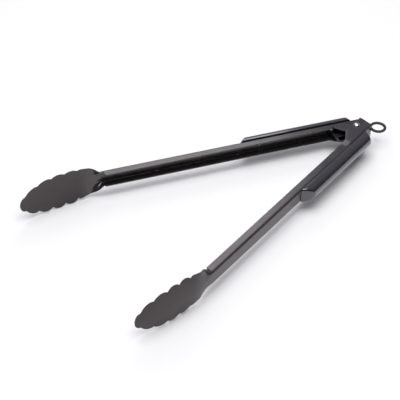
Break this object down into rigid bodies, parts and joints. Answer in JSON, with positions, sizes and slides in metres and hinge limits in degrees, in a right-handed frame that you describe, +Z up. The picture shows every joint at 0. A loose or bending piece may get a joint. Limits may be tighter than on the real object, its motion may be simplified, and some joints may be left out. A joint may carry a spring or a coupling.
{
  "type": "spring loaded kitchen tongs",
  "caption": "Spring loaded kitchen tongs with folded steel arms, scalloped heads, soft half round grips, and a pull ring that locks them closed.",
  "frame": {"origin": "middle of the bounding box in plan, on the surface the tongs lie on", "axes": "+X from the heads to the pull ring, +Y from the near arm to the far arm, +Z up along the pivot axis"},
  "size_m": [0.4222, 0.218, 0.0456],
  "materials": {
    "coated_steel": "dark grey non-stick coating, satin on the arms and matte on the heads",
    "soft_grip": "smooth soft-touch, semi gloss",
    "nylon": "moulded, matte",
    "plain_steel": "polished rivet steel",
    "spring_steel": "bright drawn wire",
    "ring_plastic": "moulded, low gloss"
  },
  "bodies": {
    "far_side": {"far_arm": "coated_steel", "far_grip": "soft_grip", "far_grip_carrier": "nylon", "far_grip_rivet_front": "coated_steel", "far_grip_rivet_rear": "plain_steel", "pivot_rivet": "plain_steel", "pivot_sleeve": "plain_steel", "spring_spool": "nylon", "lower_spacer": "nylon", "tail_washer": "plain_steel", "torsion_spring": "spring_steel"},
    "near_side": {"near_arm": "coated_steel", "near_grip": "soft_grip", "near_grip_carrier": "nylon", "near_grip_rivet_front": "coated_steel", "near_grip_rivet_rear": "plain_steel"},
    "lock": {"lock_slide": "coated_steel", "pull_ring": "ring_plastic"}
  },
  "joints": [
    {"name": "arm_pivot", "type": "hinge", "parent": "far_side", "child": "near_side", "pos_m": [0.17405, 0, 0.02281], "axis": [0, 0, -1], "range_deg": [0, 30.6], "stiffness_Nm_per_rad": 0.3, "springref_deg": -28.65, "deforming": ["torsion_spring"]},
    {"name": "lock_pull", "type": "slide", "parent": "far_side", "child": "lock", "axis": [0.9573, -0.289, 0], "range_m": [0, 0.008]}
  ]
}
